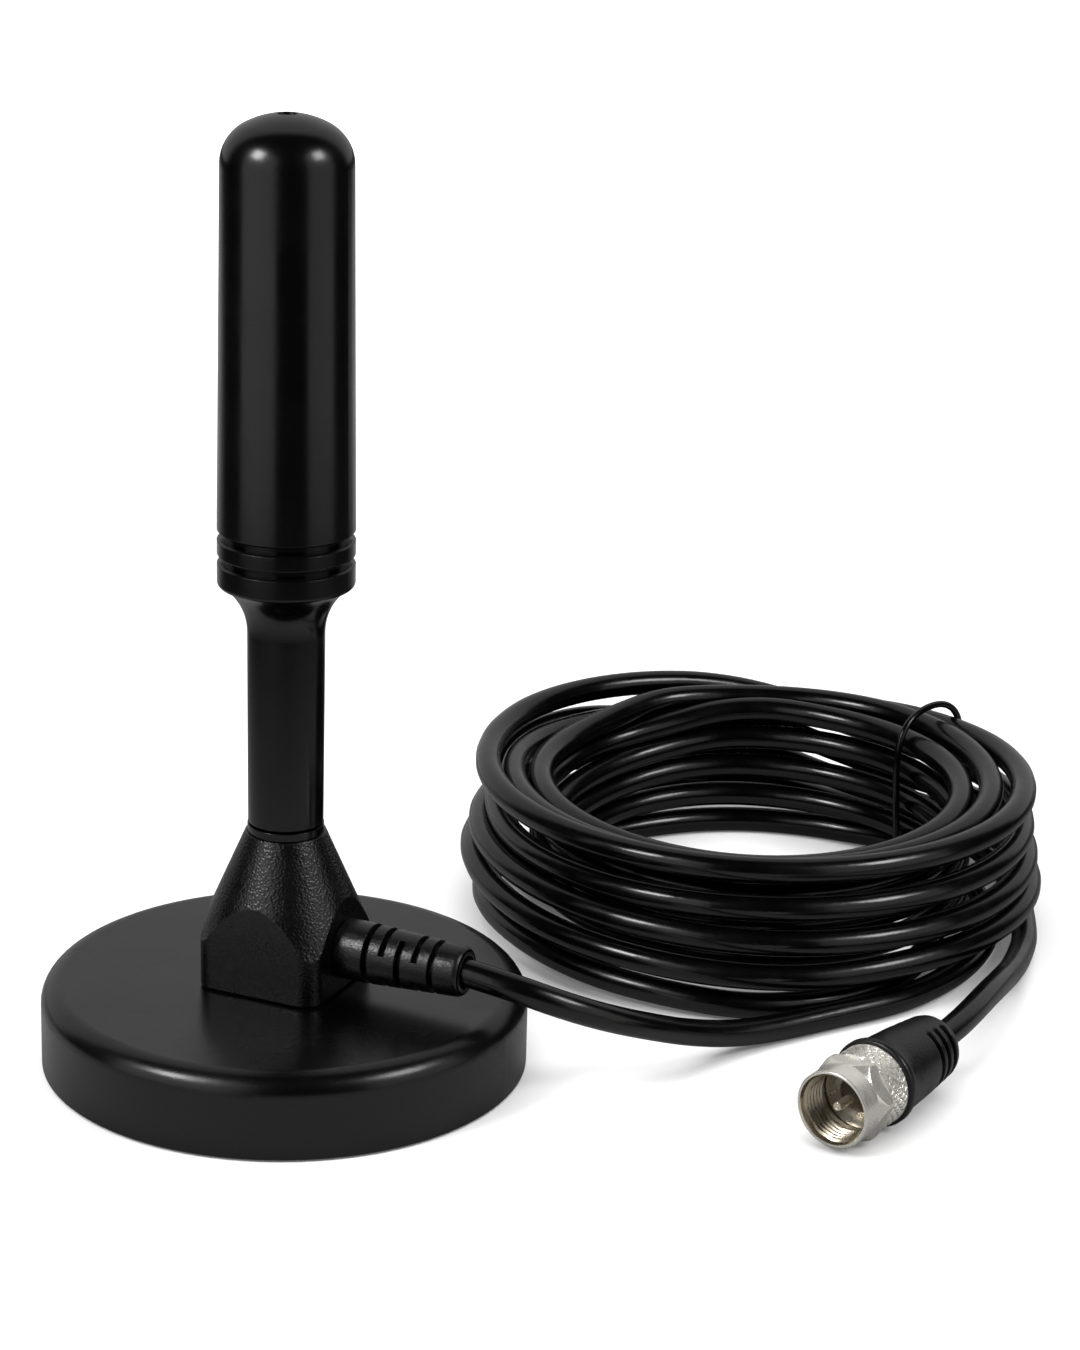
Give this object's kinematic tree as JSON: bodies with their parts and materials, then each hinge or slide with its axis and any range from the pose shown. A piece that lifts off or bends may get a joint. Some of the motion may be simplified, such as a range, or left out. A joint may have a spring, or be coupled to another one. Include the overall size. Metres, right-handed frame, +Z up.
{
  "type": "omnidirectional antenna",
  "caption": "Table antenna: round magnetic base, socket block, screw-in mast with a thick cylindrical radome, coiled thin coaxial cable and F plug.",
  "frame": {"origin": "middle of the base's underside, on the surface that the base stands on", "axes": "+Z up along the mast, +X the way the cable leaves the socket block, +Y towards the coil"},
  "size_m": [0.1232, 0.1623, 0.1329],
  "materials": {
    "base_paint": "satin black",
    "foot_rubber": "matt black rubber",
    "plated_steel": "zinc plated",
    "ferrite": "dull dark grey ferrite",
    "copper": "bare copper",
    "block_plastic": "fine grained black",
    "brass": "turned brass",
    "relief_rubber": "satin black, moulded",
    "dielectric": "white polyethylene",
    "seat_gloss": "glossy black",
    "mast_gloss": "glossy black",
    "board": "green laminate",
    "former_plastic": "natural plastic",
    "radome_gloss": "smooth black, soft gloss",
    "cable_jacket": "smooth black jacket, satin",
    "tie_plastic": "glossy black coated wire",
    "boot_rubber": "satin black",
    "nickel": "satin nickel plate",
    "insulator_plastic": "brownish resin",
    "pin_metal": "bright nickel"
  },
  "bodies": {
    "base": {"base_shell": "base_paint", "foot_pad": "foot_rubber", "pole_plate": "plated_steel", "ring_magnet": "ferrite", "base_screws": "plated_steel", "ground_strap": "copper", "socket_block": "block_plastic", "threaded_bush": "brass", "strain_relief": "relief_rubber", "crimp_ferrule": "brass", "cable_core": "dielectric", "inner_conductor": "copper", "cable_lead": "cable_jacket", "cable_coil": "cable_jacket", "cable_tail": "cable_jacket", "coil_tie": "tie_plastic", "connector_boot": "boot_rubber", "connector_body": "nickel", "crimp_sleeve": "nickel", "insulator": "insulator_plastic", "centre_pin": "pin_metal", "tail_core": "dielectric"},
    "seat": {"seat_washer": "seat_gloss"},
    "mast": {"mast_stud": "brass", "stem_tube": "mast_gloss", "feed_rod": "brass", "feed_beads": "dielectric", "collar": "mast_gloss", "trim_ring": "mast_gloss", "inner_sleeve": "seat_gloss", "matching_board": "board", "element_former": "former_plastic", "helix_element": "copper", "radome": "radome_gloss", "radome_screw": "plated_steel"},
    "nut": {"coupling_nut": "nickel"}
  },
  "joints": [
    {"name": "seat_lift", "type": "slide", "parent": "base", "child": "seat", "axis": [0, 0, 1], "range_m": [0, 0.006]},
    {"name": "mast_turn", "type": "hinge", "parent": "seat", "child": "mast", "pos_m": [0, 0, 0.035], "axis": [0, 0, 1], "range_deg": [0, 1800]},
    {"name": "nut_spin", "type": "hinge", "parent": "base", "child": "nut", "pos_m": [0.07935, 0.00568, 0.0063], "axis": [-0.2065, -0.9784, 0], "continuous": true}
  ],
  "couplings": [
    {"joint": "seat_lift", "follows": "mast_turn", "m_per_rad": 0.00015915}
  ]
}
